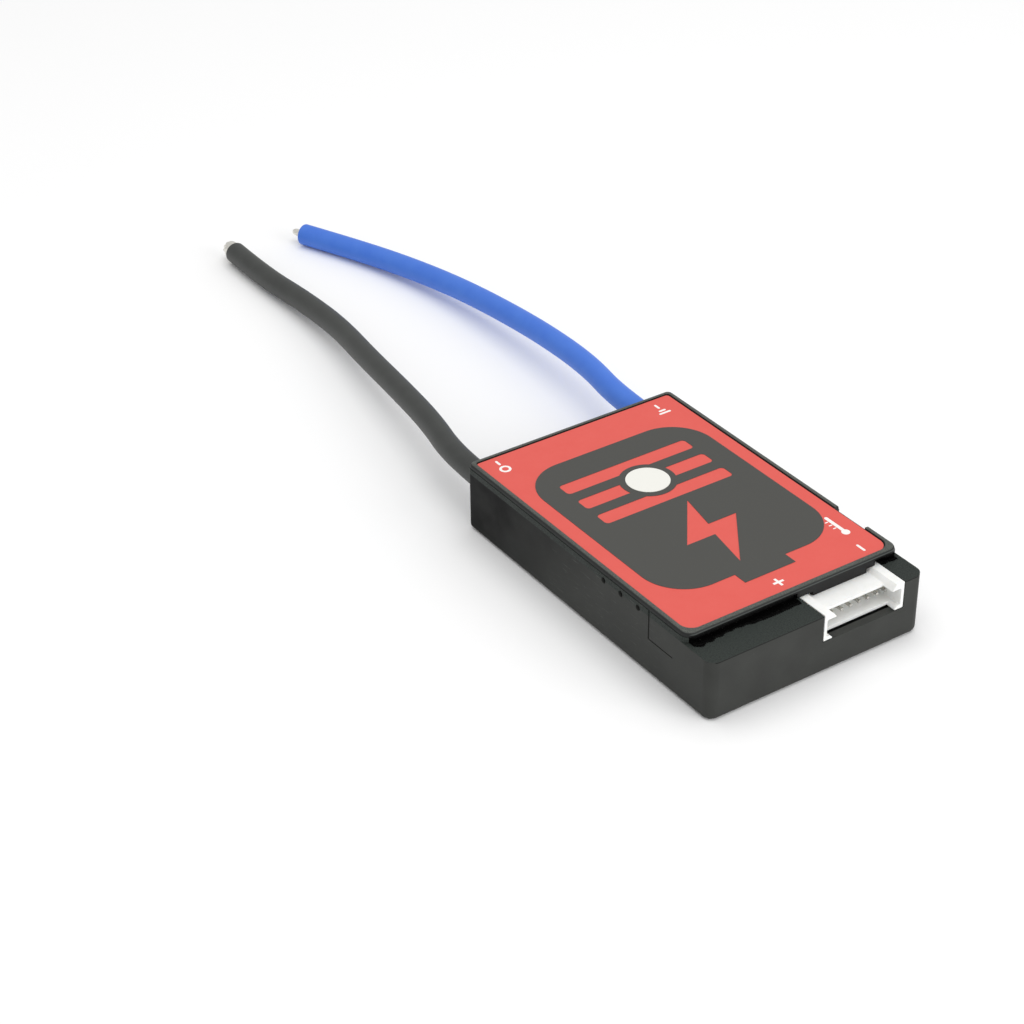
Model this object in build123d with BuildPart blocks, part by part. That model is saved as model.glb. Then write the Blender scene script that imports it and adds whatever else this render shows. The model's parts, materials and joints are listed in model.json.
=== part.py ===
"""Battery management board: a populated circuit board in a moulded two-part box, with two power leads.

All sizes are in millimetres. The origin is the centre of the box's flat underside, +Z is up,
the balance socket is in the -Y end and the two power leads leave the +Y end.
"""
from build123d import *
import math
import os

# Box
case_width = 59.0
case_length = 92.0
total_height = 17.8
wall = 2.0
floor_thickness = 2.0
front_corner_radius = 2.5
back_corner_radius = 1.5
base_edge_radius = 1.4
ledge_depth = 8.3
ledge_roof = 2.0

# Cover
cover_thickness = 1.1
cover_inset = 0.15
cover_back_inset = 0.05
rim_width = 1.3
rim_front_width = 1.4
rim_back_width = 1.2
rim_edge_radius = 0.8
slot_height = 1.4
slot_end = 1.0
skirt_thickness = 1.2
skirt_depth = 2.5
skirt_setback = 6.0
fit_clearance = 0.2
tongue_thickness = 1.2
tongue_shift = -1.1
tongue_clearance = 0.12

# Label and its print
label_recess = 0.4
label_thickness = 0.2
label_gap = 0.22
label_shift = -0.2
label_front_radius = 3.0
label_back_radius = 0.8
print_thickness = 0.08
cell_side_margin = 3.83
cell_margin = 10.8
cell_radius = 11.0
cell_terminal_width = 14.0
cell_terminal_length = 3.6
bolt_length = 26.0
bolt_width = 17.0
bolt_setback = 16.5
# Corners of the spark as shares of its width and length from its middle
bolt_corners = ((0.16, 0.5), (-0.5, -0.06), (-0.04, -0.06), (-0.16, -0.5), (0.5, 0.1), (0.04, 0.1))
bar_width = 36.0
bar_length = 4.2
bar_gap = 3.2
bar_corner = 1.0
bar_count = 3
sticker_radius = 5.2
sticker_thickness = 0.1
sticker_border = 1.6
sticker_x = 0.5
sticker_setback = 17.6

# Potting compound in the slot under the cover's front lip
film_thickness = 0.15
# Ragged front edge of the film as shares of its width and reach in front of the cover
left_film_edge = ((0.0, 2.0), (0.14, 1.7), (0.33, 1.05), (0.41, 1.03), (0.55, 1.8), (0.7, 2.03), (1.0, 1.8))
right_film_edge = ((0.0, 0.65), (0.5, 0.8), (1.0, 0.8))

# Marks of the mould and the three small holes in the left wall
side_hole_radius = 0.75
side_hole_pitch = 6.27
side_hole_count = 3
side_hole_setback = 23.3
side_hole_web = 0.72
seam_setback = 13.05
seam_z = 9.4
seam_length = 8.5
seam_width = 0.5
seam_run_width = 0.3
seam_depth = 0.25

# Sockets
pin_pitch = 2.5
pin_side = 0.64
socket_end = 2.45
socket_height = 6.65
socket_depth = 11.5
socket_wall = 0.75
socket_floor = 0.9
socket_back = 1.6
socket_corner = 0.3
flange_thickness = 1.4
plate_thickness = 0.75
plate_step = 1.05
plate_setback = 3.25
floor_setback = 2.6
foot_width = 2.3
foot_chamfer = 0.6
pin_height = 3.55
pin_setback = 3.0
pin_tail = 0.9
pin_below = 2.6
pin_bend = 0.5
pin_edge_reach = 0.08
socket_clearance = 0.25
balance_pins = 8
balance_margin = 5.8
# Width of a flange at its underside and at its top
balance_flange = (3.35, 2.15)
sensor_pins = 2
sensor_setback = 15.2
sensor_flange = (1.5, 1.0)
sensor_notch = 10.3

# Circuit board and what carries it
board_thickness = 1.6
board_gap = 0.6
board_hole_radius = 0.55
boss_radius = 2.8
boss_bite = 0.2
screw_radius = 1.1
screw_head_radius = 1.9
screw_head_height = 1.5
screw_head_edge = 0.5
screw_length = 5.0
screw_clearance = 0.1
front_screw_setback = 4.7
back_screw_setback = 6.0
back_screw_inset = 12.2

# Switching transistors, their bars and the heat spreader
transistor_width = 10.0
transistor_gap = 0.4
transistor_body = 8.8
transistor_height = 4.4
transistor_tab = 1.2
transistor_tab_thickness = 1.3
transistor_leg = 0.9
transistor_leg_reach = 3.0
transistor_leg_pitch = 5.08
drain_bar_width = 3.0
source_bar_width = 2.6
source_bar_gap = 4.0
bar_height = 1.2
bar_edge = 0.25
bar_clearance = 0.15
pad_thickness = 0.5
spreader_thickness = 1.5
spreader_corner = 1.5

# Small components on the board: width, length and height of each
component_margin = 1.1
shunt_size = (6.4, 3.2, 0.8)
shunt_gap = 2.6
shunt_count = 4
resistor_size = (3.2, 6.3, 0.6)
resistor_gap = 1.6
switch_size = (2.9, 1.6, 1.1)
monitor_size = (7.0, 7.0, 1.4)
monitor_legs = 6
driver_size = (5.0, 4.0, 1.6)
driver_legs = 4
chip_edge = 0.2
chip_leg_width = 0.35
chip_leg_reach = 1.0
chip_leg_height = 0.5
chip_leg_pitch = 1.0
capacitor_radius = 3.15
capacitor_height = 5.4
capacitor_base = 0.8
capacitor_gap = 1.2
capacitor_count = 2
ceramic_size = (2.0, 1.25, 1.0)
ceramic_gap = 1.5

# Power leads
lead_radius = 3.0
lead_margin = 0.3
lead_clearance = 0.3
first_run = 14.0
conductor_radius = 1.8
conductor_inside = 8.0
sleeve_gap = 0.1
solder_side = 0.8
solder_length = 6.0
solder_height = 2.0
solder_bed = 0.35
solder_gap = 0.03
solder_edge = 0.5
finger_clearance = 0.1
finger_above = 1.2
black_tip_radius = 2.2
black_tip_length = 5.0
blue_tip_radius = 1.0
blue_tip_length = 4.2
tip_edge = 0.3
corner_share = 0.45

# Heights and ends that follow from the sizes above
half_width = case_width / 2
half_length = case_length / 2
wall_top = total_height - cover_thickness
ledge_top = wall_top - slot_height
board_top = ledge_top - socket_height
board_bottom = board_top - board_thickness
cover_front = -half_length + ledge_depth
cover_back = half_length - cover_back_inset
cover_half_width = half_width - cover_inset
recess_half_width = cover_half_width - rim_width
recess_front = cover_front + rim_front_width
recess_back = cover_back - rim_back_width
label_seat = total_height - label_recess
label_top = label_seat + label_thickness
label_front = recess_front + label_gap + label_shift
label_back = recess_back - label_gap + label_shift
inner_half_width = half_width - wall
inner_half_length = half_length - wall
cavity_front = cover_front + wall
board_half_width = inner_half_width - board_gap
lead_x = inner_half_width - lead_radius - lead_margin
lead_z = board_top + solder_bed + conductor_radius
sleeve_length = wall + board_gap - sleeve_gap
sleeve_end = half_length - sleeve_length
skirt_half_width = inner_half_width - fit_clearance
spreader_width = 2 * (skirt_half_width - skirt_thickness - fit_clearance)

# Sockets and the tongue over the balance socket
balance_width = pin_pitch * (balance_pins - 1) + 2 * socket_end
sensor_width = pin_pitch * (sensor_pins - 1) + 2 * socket_end
balance_x = half_width - balance_margin - balance_width / 2
sensor_y = cover_front + sensor_setback
balance_mouth = Plane(origin=(balance_x, -half_length, board_top), x_dir=(1, 0, 0), z_dir=(0, -1, 0))
sensor_mouth = Plane(origin=(half_width, sensor_y, board_top), x_dir=(0, 1, 0), z_dir=(1, 0, 0))
plate_top = socket_height - plate_step
tongue_x = balance_x + tongue_shift
tongue_width = balance_width - 2 * fit_clearance

# Routes of the two leads outside the box, from the back wall to the stripped ends
black_route = [
    (-lead_x, half_length, lead_z),
    (-lead_x, half_length + first_run, lead_z),
    (-19.9, 77.0, 10.3),
    (-16.8, 97.0, 9.2),
    (-13.5, 118.0, 7.4),
    (-9.6, 139.0, 5.6),
    (-8.6, 160.0, 4.1),
    (-9.6, 180.0, 3.2),
    (-9.0, 197.8, 3.1),
]
blue_route = [
    (lead_x, half_length, lead_z),
    (lead_x, half_length + first_run, lead_z),
    (27.7, 77.0, 10.3),
    (28.3, 97.0, 9.3),
    (28.7, 118.0, 7.6),
    (28.3, 139.0, 5.7),
    (26.0, 159.0, 4.2),
    (20.7, 178.5, 3.2),
    (12.8, 196.6, 3.1),
]


def save(piece, name):
    """Labels a finished piece and writes its file."""
    piece.label = name
    export_step(piece, f"parts/{name}.step")


def rounded_plan(half_x, front, back, front_radius, back_radius):
    """Rectangle from front to back with its own corner radius at each end."""
    with BuildSketch() as plan:
        with Locations((0, (front + back) / 2)):
            Rectangle(2 * half_x, back - front)
        fillet(plan.vertices().group_by(Axis.Y)[0], front_radius)
        fillet(plan.vertices().group_by(Axis.Y)[-1], back_radius)
    return plan.sketch


def spread(start, end, lengths):
    """Middles of things of the given lengths between start and end, with equal gaps all along."""
    gap = (end - start - sum(lengths)) / (len(lengths) + 1)
    middles = []
    for length in lengths:
        middles.append(start + gap + length / 2)
        start += gap + length
    return middles


def row_length(size, gap, count):
    """Length of a row of equal things with equal gaps between them."""
    return count * size + (count - 1) * gap


def screw_places():
    """Centres of the four screws that hold the board."""
    front_x = inner_half_width - boss_radius + boss_bite
    front = [(side * front_x, cavity_front + front_screw_setback) for side in (-1, 1)]
    back_x = lead_x - back_screw_inset
    back = [(side * back_x, inner_half_length - back_screw_setback) for side in (-1, 1)]
    return front + back


def make_lower_case():
    """Tray with a roofed ledge at the front, wall notches for the sockets and bosses for the board."""
    body_plan = rounded_plan(half_width, -half_length, half_length, front_corner_radius, back_corner_radius)
    upper_plan = rounded_plan(half_width, cover_front, half_length, front_corner_radius, back_corner_radius)
    with BuildPart() as case:
        with BuildSketch():
            add(body_plan)
        extrude(amount=ledge_top)
        fillet(case.faces().sort_by(Axis.Z)[0].edges(), base_edge_radius)
        with BuildSketch(Plane.XY.offset(ledge_top)):
            add(upper_plan)
        extrude(amount=slot_height)
        with BuildSketch(Plane.XY.offset(floor_thickness)):
            Rectangle(2 * inner_half_width, 2 * inner_half_length)
        extrude(amount=ledge_top - ledge_roof - floor_thickness, mode=Mode.SUBTRACT)
        with BuildSketch(Plane.XY.offset(floor_thickness)):
            with Locations((0, (cavity_front + inner_half_length) / 2)):
                Rectangle(2 * inner_half_width, inner_half_length - cavity_front)
        extrude(amount=total_height, mode=Mode.SUBTRACT)
        # Slot under the cover's front lip
        with BuildSketch(Plane.XY.offset(ledge_top)):
            with Locations((0, cover_front)):
                Rectangle(2 * (half_width - slot_end), 2 * wall)
        extrude(amount=slot_height, mode=Mode.SUBTRACT)
        # Notches for the balance socket, open at the front, and for the sensor socket in the right wall
        with BuildSketch(Plane.XY.offset(board_top - socket_clearance)):
            with Locations((balance_x, -half_length)):
                Rectangle(balance_width + 2 * socket_clearance, 2 * socket_depth)
            with Locations((half_width, sensor_y)):
                Rectangle(2 * wall, sensor_notch)
        extrude(amount=total_height, mode=Mode.SUBTRACT)
        # Round-bottomed slots in the back wall for the leads
        with BuildSketch(Plane.XZ.offset(-half_length)):
            for side in (-1, 1):
                with Locations((side * lead_x, lead_z)):
                    Circle(lead_radius + lead_clearance)
                with Locations((side * lead_x, (lead_z + total_height) / 2)):
                    Rectangle(2 * (lead_radius + lead_clearance), total_height - lead_z)
        extrude(amount=wall, mode=Mode.SUBTRACT)
        # Three small holes high in the left wall
        hole_z = wall_top - side_hole_web - side_hole_radius
        with BuildSketch(Plane.YZ.offset(-half_width)):
            with Locations((cover_front + side_hole_setback, hole_z)):
                with GridLocations(side_hole_pitch, 1, side_hole_count, 1):
                    Circle(side_hole_radius)
        extrude(amount=wall, mode=Mode.SUBTRACT)
        # Seam left by the mould's side block
        seam_y = cover_front + seam_setback
        with BuildSketch(Plane.YZ.offset(-half_width)):
            with Locations((seam_y, (seam_z + wall_top) / 2)):
                Rectangle(seam_width, wall_top - seam_z)
            with Locations((seam_y - seam_length / 2, seam_z)):
                Rectangle(seam_length, seam_run_width)
        extrude(amount=seam_depth, mode=Mode.SUBTRACT)
        # Bosses that carry the board
        with BuildSketch(Plane.XY.offset(floor_thickness)):
            with Locations(*screw_places()):
                Circle(boss_radius)
        extrude(amount=board_bottom - floor_thickness)
        with BuildSketch(Plane.XY.offset(board_top)):
            with Locations(*screw_places()):
                Circle(screw_radius + screw_clearance)
        extrude(amount=-screw_length, mode=Mode.SUBTRACT)
    return case.part


def make_top_cover():
    """Rimmed plate with a label recess, a skirt inside the walls, a tongue and two lead fingers."""
    plate_plan = rounded_plan(cover_half_width, cover_front, cover_back, front_corner_radius, back_corner_radius)
    recess_plan = rounded_plan(
        recess_half_width, recess_front, recess_back, label_front_radius, label_back_radius
    )
    skirt_front = cavity_front + skirt_setback
    skirt_back = inner_half_length - fit_clearance
    slot_width = 2 * (lead_radius + lead_clearance)
    with BuildPart() as cover:
        with BuildSketch(Plane.XY.offset(wall_top)):
            add(plate_plan)
        extrude(amount=cover_thickness)
        fillet(cover.faces().sort_by(Axis.Z)[-1].edges(), rim_edge_radius)
        with BuildSketch(Plane.XY.offset(label_seat)):
            add(recess_plan)
        extrude(amount=label_recess, mode=Mode.SUBTRACT)
        # Notch in the rim over the sensor socket
        with BuildSketch(Plane.XY.offset(wall_top)):
            with Locations((recess_half_width + half_width / 2, sensor_y)):
                Rectangle(half_width, sensor_notch)
        extrude(amount=cover_thickness, mode=Mode.SUBTRACT)
        # Skirt along the two sides and the back, open at the sensor socket and the leads
        with BuildSketch(Plane.XY.offset(wall_top)):
            with Locations((0, (skirt_front + skirt_back) / 2)):
                Rectangle(2 * skirt_half_width, skirt_back - skirt_front)
            with Locations((0, (skirt_front + skirt_back) / 2 - skirt_thickness)):
                inside_width = 2 * (skirt_half_width - skirt_thickness)
                Rectangle(inside_width, skirt_back - skirt_front, mode=Mode.SUBTRACT)
            with Locations((skirt_half_width, sensor_y)):
                Rectangle(4 * skirt_thickness, sensor_notch, mode=Mode.SUBTRACT)
            with Locations((-lead_x, skirt_back), (lead_x, skirt_back)):
                Rectangle(slot_width, 4 * skirt_thickness, mode=Mode.SUBTRACT)
        extrude(amount=-skirt_depth)
        # Tongue that closes the slot over the balance socket and reaches down between its flanges
        with BuildSketch(Plane.XY.offset(wall_top)):
            with Locations((tongue_x, cover_front + tongue_thickness / 2)):
                Rectangle(tongue_width, tongue_thickness)
        extrude(amount=-(slot_height - tongue_clearance))
        with BuildSketch(Plane.XY.offset(wall_top)):
            with Locations((balance_x, cover_front + tongue_thickness / 2)):
                Rectangle(balance_width - 2 * (balance_flange[0] + socket_clearance), tongue_thickness)
        extrude(amount=-(slot_height + plate_step - tongue_clearance))
        # Fingers that close the wall slots above the leads
        finger_bottom = lead_z + finger_above
        with BuildSketch(Plane.XZ.offset(-cover_back)):
            for side in (-1, 1):
                with Locations((side * lead_x, (finger_bottom + wall_top) / 2)):
                    Rectangle(slot_width - 2 * finger_clearance, wall_top - finger_bottom)
                with Locations((side * lead_x, lead_z)):
                    Circle(lead_radius + lead_clearance, mode=Mode.SUBTRACT)
        extrude(amount=wall - cover_back_inset)
    return cover.part


def make_label():
    """Thin label that lies a little off the middle of the cover's recess."""
    outline = rounded_plan(
        recess_half_width - label_gap, label_front, label_back, label_front_radius, label_back_radius
    )
    with BuildPart() as label:
        with BuildSketch(Plane.XY.offset(label_seat)):
            with Locations((label_shift, 0)):
                add(outline)
        extrude(amount=label_thickness)
    return label.part


def sticker_place():
    """Centre of the round sticker as x and y."""
    return (sticker_x, label_back - cell_margin - sticker_setback)


def make_label_print():
    """Dark print on the label: a plain cell outline with a spark and level bars left open."""
    cell_width = 2 * (recess_half_width - label_gap - cell_side_margin)
    front = label_front + cell_margin
    back = label_back - cell_margin
    spark_y = front + bolt_setback
    with BuildPart() as ink:
        with BuildSketch(Plane.XY.offset(label_top)):
            with Locations((0, (front + back) / 2)):
                RectangleRounded(cell_width, back - front, cell_radius)
            with Locations((0, front - cell_terminal_length / 2)):
                Rectangle(cell_terminal_width, cell_terminal_length)
            with BuildLine():
                corners = [(across * bolt_width, spark_y + along * bolt_length) for across, along in bolt_corners]
                Polyline(*corners, close=True)
            make_face(mode=Mode.SUBTRACT)
            with Locations((0, sticker_place()[1])):
                with GridLocations(1, bar_length + bar_gap, 1, bar_count):
                    RectangleRounded(bar_width, bar_length, bar_corner, mode=Mode.SUBTRACT)
            with Locations(sticker_place()):
                Circle(sticker_radius + sticker_border)
        extrude(amount=print_thickness)
    return ink.part


def make_sticker():
    """Blank round sticker on top of the print."""
    with BuildPart() as dot:
        with BuildSketch(Plane.XY.offset(label_top + print_thickness)):
            with Locations(sticker_place()):
                Circle(sticker_radius)
        extrude(amount=sticker_thickness)
    return dot.part


def make_slot_seal():
    """Potting compound pressed out of the slot on both sides of the tongue, with a ragged film in front."""
    slot_side = half_width - slot_end - fit_clearance
    notch_side = balance_width / 2 + socket_clearance
    tongue_side = tongue_width / 2 + fit_clearance
    left_end = min(balance_x - notch_side, tongue_x - tongue_side)
    right_end = max(balance_x + notch_side, tongue_x + tongue_side)
    seal_back = cavity_front - fit_clearance
    stretches = ((-slot_side, left_end, left_film_edge), (right_end, slot_side, right_film_edge))
    with BuildPart() as seal:
        with BuildSketch(Plane.XY.offset(ledge_top)):
            for left, right, _ in stretches:
                with Locations(((left + right) / 2, (cover_front + seal_back) / 2)):
                    Rectangle(right - left, seal_back - cover_front)
        extrude(amount=slot_height - fit_clearance / 2)
        with BuildSketch(Plane.XY.offset(ledge_top)):
            for left, right, edge in stretches:
                points = [(left + share * (right - left), cover_front - reach) for share, reach in edge]
                with BuildLine():
                    Spline(*points)
                    Polyline(points[-1], (right, cover_front), (left, cover_front), points[0])
                make_face()
        extrude(amount=film_thickness)
    return seal.part


def make_socket(mouth, pins, flange):
    """Side-entry socket: thin walls, two top flanges with slanted inner sides, a lowered plate and feet."""
    low, high = flange
    width = pin_pitch * (pins - 1) + 2 * socket_end
    inside_width = width - 2 * socket_wall
    flange_bottom = socket_height - flange_thickness
    slant = (low - high) / flange_thickness
    at_bottom = width / 2 - low
    at_plate = at_bottom + slant * (plate_top - flange_bottom)
    at_top = width / 2 - high
    foot_side = width / 2 - foot_width
    with BuildPart() as shell:
        with BuildSketch(mouth):
            with Locations((0, socket_height / 2)):
                Rectangle(width, socket_height)
        extrude(amount=-socket_depth)
        with BuildSketch(mouth) as hollow:
            with Locations((0, (socket_floor + plate_top - plate_thickness) / 2)):
                Rectangle(inside_width, plate_top - plate_thickness - socket_floor)
            fillet(hollow.vertices(), socket_corner)
        extrude(amount=-(socket_depth - socket_back), mode=Mode.SUBTRACT)
        # Wider and higher at the mouth, in front of the plate
        with BuildSketch(mouth) as opening:
            with Locations((0, (socket_floor + flange_bottom) / 2)):
                Rectangle(inside_width, flange_bottom - socket_floor)
            fillet(opening.vertices(), socket_corner)
            with BuildLine():
                Polyline((0, socket_floor + socket_corner), (at_bottom, socket_floor + socket_corner),
                         (at_bottom, flange_bottom), (at_top, socket_height), (0, socket_height))
                mirror(about=Plane.YZ)
            make_face()
        extrude(amount=-plate_setback, mode=Mode.SUBTRACT)
        # Gap between the flanges above the plate
        with BuildSketch(mouth):
            with BuildLine():
                Polyline((0, plate_top), (at_plate, plate_top), (at_top, socket_height), (0, socket_height))
                mirror(about=Plane.YZ)
            make_face()
        extrude(amount=-socket_depth, mode=Mode.SUBTRACT)
        # Front edge of the floor set back between the two feet
        with BuildSketch(mouth):
            with BuildLine():
                Polyline((0, 0), (foot_side, 0), (foot_side, socket_floor - foot_chamfer),
                         (foot_side + foot_chamfer, socket_floor), (0, socket_floor))
                mirror(about=Plane.YZ)
            make_face()
        extrude(amount=-floor_setback, mode=Mode.SUBTRACT)
        with BuildSketch(mouth.offset(-socket_depth)):
            with Locations((0, pin_height)):
                with GridLocations(pin_pitch, 1, pins, 1):
                    Rectangle(pin_side, pin_side)
        extrude(amount=socket_back, mode=Mode.SUBTRACT)
    return shell.part


def make_socket_pins(mouth, pins):
    """Bent square pins: each runs from the mouth through the back and down through the board."""
    inward = mouth.z_dir * -1
    half = pin_side / 2
    leg_at = socket_depth + pin_tail
    across = [(index - (pins - 1) / 2) * pin_pitch for index in range(pins)]
    planes = [
        Plane(origin=mouth.from_local_coords((place, 0, 0)), x_dir=inward, z_dir=mouth.x_dir)
        for place in across
    ]
    with BuildPart() as row:
        with BuildSketch(*planes):
            with Locations(((pin_setback + leg_at + half) / 2, pin_height)):
                Rectangle(leg_at + half - pin_setback, pin_side)
            with Locations((leg_at, (pin_height + half - pin_below) / 2)):
                Rectangle(pin_side, pin_height + half + pin_below)
        extrude(amount=half, both=True)
        outer = [edge for edge in row.edges() if is_bend_edge(edge, mouth, leg_at + half, pin_height + half)]
        fillet(outer, pin_bend)
    return row.part


def is_bend_edge(edge, mouth, inward, up):
    """True for the outer edge of a pin's bend."""
    place = mouth.to_local_coords(edge.center())
    return abs(place.Z + inward) < pin_edge_reach and abs(place.Y - up) < pin_edge_reach


def pin_places(mouth, pins):
    """Board hole centres under a socket's pins, as x and y."""
    across = [(index - (pins - 1) / 2) * pin_pitch for index in range(pins)]
    points = [mouth.from_local_coords((place, 0, -(socket_depth + pin_tail))) for place in across]
    return [(point.X, point.Y) for point in points]


def make_board():
    """Circuit board with screw holes and pin holes."""
    with BuildPart() as board:
        with BuildSketch(Plane.XY.offset(board_bottom)):
            Rectangle(2 * board_half_width, 2 * (inner_half_length - board_gap))
            with Locations(*screw_places()):
                Circle(screw_radius + screw_clearance, mode=Mode.SUBTRACT)
            with Locations(*pin_places(balance_mouth, balance_pins), *pin_places(sensor_mouth, sensor_pins)):
                Circle(board_hole_radius, mode=Mode.SUBTRACT)
        extrude(amount=board_thickness)
    return board.part


def make_screws():
    """Screws through the board into the bosses."""
    with BuildPart() as screws:
        with BuildSketch(Plane.XY.offset(board_top)):
            with Locations(*screw_places()):
                Circle(screw_head_radius)
        extrude(amount=screw_head_height)
        chamfer(screws.edges().group_by(Axis.Z)[-1], screw_head_edge)
        with BuildSketch(Plane.XY.offset(board_top)):
            with Locations(*screw_places()):
                Circle(screw_radius)
        extrude(amount=-(screw_length - screw_clearance))
    return screws.part


def make_transistors(tab_end, toward):
    """Row of surface-mounted power transistors; toward is +1 where the legs point to the leads."""
    count = int((spreader_width + transistor_gap) / (transistor_width + transistor_gap))
    pitch = transistor_width + transistor_gap
    tab_length = transistor_tab + transistor_body / 2
    leg_y = tab_end + toward * (transistor_tab + transistor_body + transistor_leg_reach / 2)
    with BuildPart() as row:
        with BuildSketch(Plane.XY.offset(board_top)):
            with Locations((0, tab_end + toward * (transistor_tab + transistor_body / 2))):
                with GridLocations(pitch, 1, count, 1):
                    Rectangle(transistor_width, transistor_body)
        extrude(amount=transistor_height)
        with BuildSketch(Plane.XY.offset(board_top)):
            with Locations((0, tab_end + toward * tab_length / 2)):
                with GridLocations(pitch, 1, count, 1):
                    Rectangle(transistor_width, tab_length)
            for side in (-1, 1):
                with Locations((side * transistor_leg_pitch / 2, leg_y)):
                    with GridLocations(pitch, 1, count, 1):
                        Rectangle(transistor_leg, transistor_leg_reach)
        extrude(amount=transistor_tab_thickness)
    return row.part


def make_bars(length, width, places):
    """Flat bars lying on the board."""
    with BuildPart() as bars:
        with BuildSketch(Plane.XY.offset(board_top)):
            with Locations(*places):
                Rectangle(length, width)
        extrude(amount=bar_height)
        chamfer(bars.edges().group_by(Axis.Z)[-1], bar_edge)
    return bars.part


def make_plate(bottom, thickness, front, back):
    """Flat plate over both rows of transistors."""
    with BuildPart() as plate:
        with BuildSketch(Plane.XY.offset(bottom)):
            with Locations((0, (front + back) / 2)):
                RectangleRounded(spreader_width, back - front, spreader_corner)
        extrude(amount=thickness)
    return plate.part


def make_chips(size, place, gap, count):
    """Row of plain rectangular components standing on the board."""
    with BuildPart() as chips:
        with BuildSketch(Plane.XY.offset(board_top)):
            with Locations(place):
                with GridLocations(size[0] + gap, 1, count, 1):
                    Rectangle(size[0], size[1])
        extrude(amount=size[2])
    return chips.part


def make_legged_chip(size, place, legs):
    """Chip body with a row of short legs along each of two sides."""
    with BuildPart() as chip:
        with BuildSketch(Plane.XY.offset(board_top)):
            with Locations(place):
                Rectangle(size[0], size[1])
        extrude(amount=size[2])
        chamfer(chip.edges().group_by(Axis.Z)[-1], chip_edge)
        with BuildSketch(Plane.XY.offset(board_top)):
            with Locations(place):
                with GridLocations(chip_leg_pitch, 1, legs, 1):
                    Rectangle(chip_leg_width, size[1] + 2 * chip_leg_reach)
        extrude(amount=chip_leg_height)
    return chip.part


def make_capacitors(place):
    """Can capacitors side by side on square bases."""
    pitch = 2 * capacitor_radius + capacitor_gap
    with BuildPart() as cans:
        with BuildSketch(Plane.XY.offset(board_top)):
            with Locations(place):
                with GridLocations(pitch, 1, capacitor_count, 1):
                    Rectangle(2 * capacitor_radius, 2 * capacitor_radius)
        extrude(amount=capacitor_base)
        with BuildSketch(Plane.XY.offset(board_top + capacitor_base)):
            with Locations(place):
                with GridLocations(pitch, 1, capacitor_count, 1):
                    Circle(capacitor_radius)
        extrude(amount=capacitor_height - capacitor_base)
    return cans.part


def make_sleeve(side):
    """The insulated stretch of a lead inside the back wall."""
    with BuildPart() as sleeve:
        with BuildSketch(Plane.XZ.offset(-half_length)):
            with Locations((side * lead_x, lead_z)):
                Circle(lead_radius)
        extrude(amount=sleeve_length)
    return sleeve.part


def make_conductors():
    """Bare conductor of each lead, lying on the board."""
    with BuildPart() as strands:
        with BuildSketch(Plane.XZ.offset(-sleeve_end)):
            with Locations((-lead_x, lead_z), (lead_x, lead_z)):
                Circle(conductor_radius)
        extrude(amount=conductor_inside)
    return strands.part


def make_solder():
    """Solder saddles around the two conductors."""
    near_end = sleeve_end - (conductor_inside - solder_length) / 2
    with BuildPart() as saddles:
        with BuildSketch(Plane.XZ.offset(-near_end)):
            with Locations(*[(side * lead_x, board_top + solder_height / 2) for side in (-1, 1)]):
                Rectangle(2 * (conductor_radius + solder_side), solder_height)
        extrude(amount=solder_length)
        chamfer(saddles.edges().group_by(Axis.Z)[-1].filter_by(Axis.Y), solder_edge)
        with BuildSketch(Plane.XZ.offset(-near_end)):
            with Locations((-lead_x, lead_z), (lead_x, lead_z)):
                Circle(conductor_radius + solder_gap)
        extrude(amount=solder_length, mode=Mode.SUBTRACT)
    return saddles.part


def route_radii(route):
    """Radius at each corner: a fixed share of the shorter run over the tangent of half the turn."""
    points = [Vector(*point) for point in route]
    radii = []
    for before, corner, after in zip(points, points[1:], points[2:]):
        shorter = min((corner - before).length, (after - corner).length)
        turn = math.radians((corner - before).get_angle(after - corner))
        radii.append(corner_share * shorter / math.tan(turn / 2))
    return radii


def make_lead(name, route):
    """Round lead along straight runs joined by tangent arcs."""
    radii = route_radii(route)
    with BuildPart() as lead:
        with BuildLine():
            run = FilletPolyline(*route, radius=radii)
        with BuildSketch(Plane(origin=run @ 0, z_dir=run % 0)):
            Circle(lead_radius)
        sweep()
    length = run.length
    expected = math.pi * lead_radius**2 * length
    print(name, "length", round(length, 2), "radii", [round(radius, 1) for radius in radii])
    print(name, "volume over section times length", round(lead.part.volume / expected, 5))
    return lead.part


def make_tip(route, radius, length):
    """Stripped and tinned end of a lead, in line with its last run."""
    end = Vector(*route[-1])
    along = (end - Vector(*route[-2])).normalized()
    with BuildPart() as tip:
        with BuildSketch(Plane(origin=end, z_dir=along)):
            Circle(radius)
        extrude(amount=length)
        chamfer(tip.faces().sort_by(SortBy.DISTANCE, reverse=True)[0].edges(), tip_edge)
    return tip.part


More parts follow.
